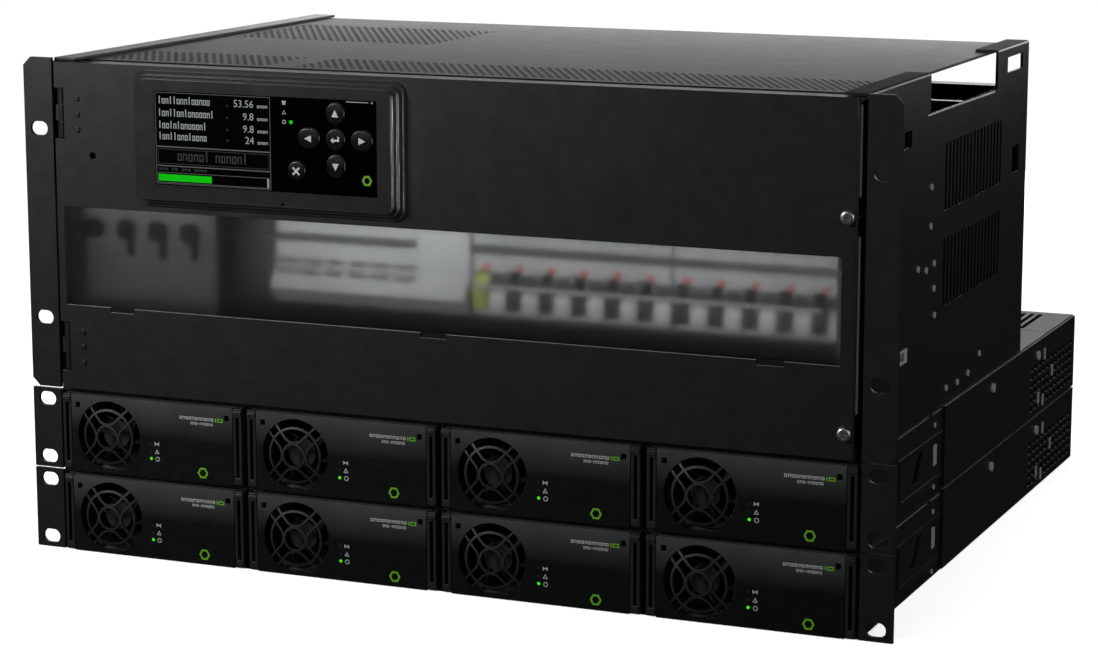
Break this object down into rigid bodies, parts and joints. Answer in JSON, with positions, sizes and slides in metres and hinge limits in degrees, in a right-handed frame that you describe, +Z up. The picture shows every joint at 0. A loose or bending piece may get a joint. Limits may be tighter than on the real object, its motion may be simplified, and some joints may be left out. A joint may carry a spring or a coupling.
{
  "type": "rack-mounted dc power system",
  "caption": "Rack-mounted DC backup power system: breaker cabinet with window door and controller over two shelves of hot-plug rectifier modules.",
  "frame": {"origin": "centre of the bottom of the system's bounding box, on the surface it stands on", "axes": "+X to the right seen from the front, +Y towards the rear, +Z up"},
  "size_m": [0.4826, 0.4406, 0.2663],
  "materials": {
    "black_powder_coat": "satin black textured powder coat",
    "grey_powder_coat": "dark grey powder coat, lit top sheet",
    "galvanised_steel": "galvanised sheet",
    "bright_steel": "zinc plated screws, pins and rivets",
    "frosted_polycarbonate": "frosted clear sheet",
    "bezel_plastic": "fine textured black plastic",
    "display_glass": "gloss black panel with a lit display",
    "key_plastic": "domed dark grey keys with white symbols",
    "module_plastic": "semi-gloss black fascia",
    "fan_plastic": "matt black fan plastic",
    "breaker_plastic": "light grey thermoset",
    "toggle_plastic": "black toggles and knobs",
    "switch_plastic": "dark grey switch bodies",
    "copper": "bare copper bar",
    "circuit_board": "green solder mask"
  },
  "bodies": {
    "cabinet": {"side_plate_left": "black_powder_coat", "side_plate_right": "black_powder_coat", "rack_ears": "black_powder_coat", "distribution_floor": "black_powder_coat", "rear_panel": "black_powder_coat", "top_cover": "grey_powder_coat", "door_hinge_frames": "bright_steel", "din_rail": "galvanised_steel", "load_breakers": "breaker_plastic", "input_breakers": "breaker_plastic", "battery_switches": "switch_plastic", "busbars": "copper", "shelf_lower": "black_powder_coat", "shelf_upper": "black_powder_coat", "shelf_rear_covers": "black_powder_coat", "backplanes": "circuit_board", "fasteners": "bright_steel"},
    "door": {"door_panel": "black_powder_coat", "door_window": "frosted_polycarbonate", "controller_housing": "bezel_plastic", "controller_face": "display_glass", "door_hinge_leaves": "bright_steel"},
    "door_screw_lower": {"door_screw_lower": "bright_steel"},
    "door_screw_upper": {"door_screw_upper": "bright_steel"},
    "key_up": {"key_up": "key_plastic"},
    "key_left": {"key_left": "key_plastic"},
    "key_enter": {"key_enter": "key_plastic"},
    "key_right": {"key_right": "key_plastic"},
    "key_down": {"key_down": "key_plastic"},
    "key_cancel": {"key_cancel": "key_plastic"},
    "rectifier_1": {"rectifier_1": "module_plastic"},
    "fan_rotor_1": {"fan_rotor_1": "fan_plastic"},
    "module_handles_1": {"module_handles_1": "module_plastic"},
    "rectifier_2": {"rectifier_2": "module_plastic"},
    "fan_rotor_2": {"fan_rotor_2": "fan_plastic"},
    "module_handles_2": {"module_handles_2": "module_plastic"},
    "rectifier_3": {"rectifier_3": "module_plastic"},
    "fan_rotor_3": {"fan_rotor_3": "fan_plastic"},
    "module_handles_3": {"module_handles_3": "module_plastic"},
    "rectifier_4": {"rectifier_4": "module_plastic"},
    "fan_rotor_4": {"fan_rotor_4": "fan_plastic"},
    "module_handles_4": {"module_handles_4": "module_plastic"},
    "rectifier_5": {"rectifier_5": "module_plastic"},
    "fan_rotor_5": {"fan_rotor_5": "fan_plastic"},
    "module_handles_5": {"module_handles_5": "module_plastic"},
    "rectifier_6": {"rectifier_6": "module_plastic"},
    "fan_rotor_6": {"fan_rotor_6": "fan_plastic"},
    "module_handles_6": {"module_handles_6": "module_plastic"},
    "rectifier_7": {"rectifier_7": "module_plastic"},
    "fan_rotor_7": {"fan_rotor_7": "fan_plastic"},
    "module_handles_7": {"module_handles_7": "module_plastic"},
    "rectifier_8": {"rectifier_8": "module_plastic"},
    "fan_rotor_8": {"fan_rotor_8": "fan_plastic"},
    "module_handles_8": {"module_handles_8": "module_plastic"},
    "battery_knob_1": {"battery_knob_1": "toggle_plastic"},
    "battery_knob_2": {"battery_knob_2": "toggle_plastic"},
    "battery_knob_3": {"battery_knob_3": "toggle_plastic"},
    "battery_knob_4": {"battery_knob_4": "toggle_plastic"},
    "load_breaker_toggles": {"load_breaker_toggles": "toggle_plastic"},
    "input_breaker_toggles": {"input_breaker_toggles": "toggle_plastic"}
  },
  "joints": [
    {"name": "door_swing", "type": "hinge", "parent": "cabinet", "child": "door", "pos_m": [-0.218, -0.2092, 0.175], "axis": [0, 0, -1], "range_deg": [0, 120]},
    {"name": "door_screw_lower_pull", "type": "slide", "parent": "door", "child": "door_screw_lower", "axis": [0, -1, 0], "range_m": [0, 0.006]},
    {"name": "door_screw_upper_pull", "type": "slide", "parent": "door", "child": "door_screw_upper", "axis": [0, -1, 0], "range_m": [0, 0.006]},
    {"name": "key_up_press", "type": "slide", "parent": "door", "child": "key_up", "axis": [0, 1, 0], "range_m": [0, 0.001], "stiffness_N_per_m": 400},
    {"name": "key_left_press", "type": "slide", "parent": "door", "child": "key_left", "axis": [0, 1, 0], "range_m": [0, 0.001], "stiffness_N_per_m": 400},
    {"name": "key_enter_press", "type": "slide", "parent": "door", "child": "key_enter", "axis": [0, 1, 0], "range_m": [0, 0.001], "stiffness_N_per_m": 400},
    {"name": "key_right_press", "type": "slide", "parent": "door", "child": "key_right", "axis": [0, 1, 0], "range_m": [0, 0.001], "stiffness_N_per_m": 400},
    {"name": "key_down_press", "type": "slide", "parent": "door", "child": "key_down", "axis": [0, 1, 0], "range_m": [0, 0.001], "stiffness_N_per_m": 400},
    {"name": "key_cancel_press", "type": "slide", "parent": "door", "child": "key_cancel", "axis": [0, 1, 0], "range_m": [0, 0.001], "stiffness_N_per_m": 400},
    {"name": "rectifier_1_slide", "type": "slide", "parent": "cabinet", "child": "rectifier_1", "axis": [0, -1, 0], "range_m": [0, 0.3]},
    {"name": "fan_rotor_1_spin", "type": "hinge", "parent": "rectifier_1", "child": "fan_rotor_1", "pos_m": [-0.1938, -0.1947, 0.06505], "axis": [0, 1, 0], "continuous": true},
    {"name": "module_handles_1_fold", "type": "hinge", "parent": "rectifier_1", "child": "module_handles_1", "pos_m": [-0.1678, -0.2097, 0.04645], "axis": [1, 0, 0], "range_deg": [0, 60]},
    {"name": "rectifier_2_slide", "type": "slide", "parent": "cabinet", "child": "rectifier_2", "axis": [0, -1, 0], "range_m": [0, 0.3]},
    {"name": "fan_rotor_2_spin", "type": "hinge", "parent": "rectifier_2", "child": "fan_rotor_2", "pos_m": [-0.0818, -0.1947, 0.06505], "axis": [0, 1, 0], "continuous": true},
    {"name": "module_handles_2_fold", "type": "hinge", "parent": "rectifier_2", "child": "module_handles_2", "pos_m": [-0.0558, -0.2097, 0.04645], "axis": [1, 0, 0], "range_deg": [0, 60]},
    {"name": "rectifier_3_slide", "type": "slide", "parent": "cabinet", "child": "rectifier_3", "axis": [0, -1, 0], "range_m": [0, 0.3]},
    {"name": "fan_rotor_3_spin", "type": "hinge", "parent": "rectifier_3", "child": "fan_rotor_3", "pos_m": [0.0302, -0.1947, 0.06505], "axis": [0, 1, 0], "continuous": true},
    {"name": "module_handles_3_fold", "type": "hinge", "parent": "rectifier_3", "child": "module_handles_3", "pos_m": [0.0562, -0.2097, 0.04645], "axis": [1, 0, 0], "range_deg": [0, 60]},
    {"name": "rectifier_4_slide", "type": "slide", "parent": "cabinet", "child": "rectifier_4", "axis": [0, -1, 0], "range_m": [0, 0.3]},
    {"name": "fan_rotor_4_spin", "type": "hinge", "parent": "rectifier_4", "child": "fan_rotor_4", "pos_m": [0.1422, -0.1947, 0.06505], "axis": [0, 1, 0], "continuous": true},
    {"name": "module_handles_4_fold", "type": "hinge", "parent": "rectifier_4", "child": "module_handles_4", "pos_m": [0.1682, -0.2097, 0.04645], "axis": [1, 0, 0], "range_deg": [0, 60]},
    {"name": "rectifier_5_slide", "type": "slide", "parent": "cabinet", "child": "rectifier_5", "axis": [0, -1, 0], "range_m": [0, 0.3]},
    {"name": "fan_rotor_5_spin", "type": "hinge", "parent": "rectifier_5", "child": "fan_rotor_5", "pos_m": [-0.1938, -0.1947, 0.0206], "axis": [0, 1, 0], "continuous": true},
    {"name": "module_handles_5_fold", "type": "hinge", "parent": "rectifier_5", "child": "module_handles_5", "pos_m": [-0.1678, -0.2097, 0.002], "axis": [1, 0, 0], "range_deg": [0, 60]},
    {"name": "rectifier_6_slide", "type": "slide", "parent": "cabinet", "child": "rectifier_6", "axis": [0, -1, 0], "range_m": [0, 0.3]},
    {"name": "fan_rotor_6_spin", "type": "hinge", "parent": "rectifier_6", "child": "fan_rotor_6", "pos_m": [-0.0818, -0.1947, 0.0206], "axis": [0, 1, 0], "continuous": true},
    {"name": "module_handles_6_fold", "type": "hinge", "parent": "rectifier_6", "child": "module_handles_6", "pos_m": [-0.0558, -0.2097, 0.002], "axis": [1, 0, 0], "range_deg": [0, 60]},
    {"name": "rectifier_7_slide", "type": "slide", "parent": "cabinet", "child": "rectifier_7", "axis": [0, -1, 0], "range_m": [0, 0.3]},
    {"name": "fan_rotor_7_spin", "type": "hinge", "parent": "rectifier_7", "child": "fan_rotor_7", "pos_m": [0.0302, -0.1947, 0.0206], "axis": [0, 1, 0], "continuous": true},
    {"name": "module_handles_7_fold", "type": "hinge", "parent": "rectifier_7", "child": "module_handles_7", "pos_m": [0.0562, -0.2097, 0.002], "axis": [1, 0, 0], "range_deg": [0, 60]},
    {"name": "rectifier_8_slide", "type": "slide", "parent": "cabinet", "child": "rectifier_8", "axis": [0, -1, 0], "range_m": [0, 0.3]},
    {"name": "fan_rotor_8_spin", "type": "hinge", "parent": "rectifier_8", "child": "fan_rotor_8", "pos_m": [0.1422, -0.1947, 0.0206], "axis": [0, 1, 0], "continuous": true},
    {"name": "module_handles_8_fold", "type": "hinge", "parent": "rectifier_8", "child": "module_handles_8", "pos_m": [0.1682, -0.2097, 0.002], "axis": [1, 0, 0], "range_deg": [0, 60]},
    {"name": "battery_knob_1_turn", "type": "hinge", "parent": "cabinet", "child": "battery_knob_1", "pos_m": [-0.2118, -0.1877, 0.174], "axis": [0, 1, 0], "range_deg": [0, 45]},
    {"name": "battery_knob_2_turn", "type": "hinge", "parent": "cabinet", "child": "battery_knob_2", "pos_m": [-0.1925, -0.1877, 0.174], "axis": [0, 1, 0], "range_deg": [0, 45]},
    {"name": "battery_knob_3_turn", "type": "hinge", "parent": "cabinet", "child": "battery_knob_3", "pos_m": [-0.1732, -0.1877, 0.174], "axis": [0, 1, 0], "range_deg": [0, 45]},
    {"name": "battery_knob_4_turn", "type": "hinge", "parent": "cabinet", "child": "battery_knob_4", "pos_m": [-0.1539, -0.1877, 0.174], "axis": [0, 1, 0], "range_deg": [0, 45]},
    {"name": "load_breaker_toggles_flip", "type": "hinge", "parent": "cabinet", "child": "load_breaker_toggles", "pos_m": [0, -0.1737, 0.158], "axis": [-1, 0, 0], "range_deg": [0, 40]},
    {"name": "input_breaker_toggles_flip", "type": "hinge", "parent": "cabinet", "child": "input_breaker_toggles", "pos_m": [0, -0.1762, 0.1586], "axis": [-1, 0, 0], "range_deg": [0, 40]}
  ]
}
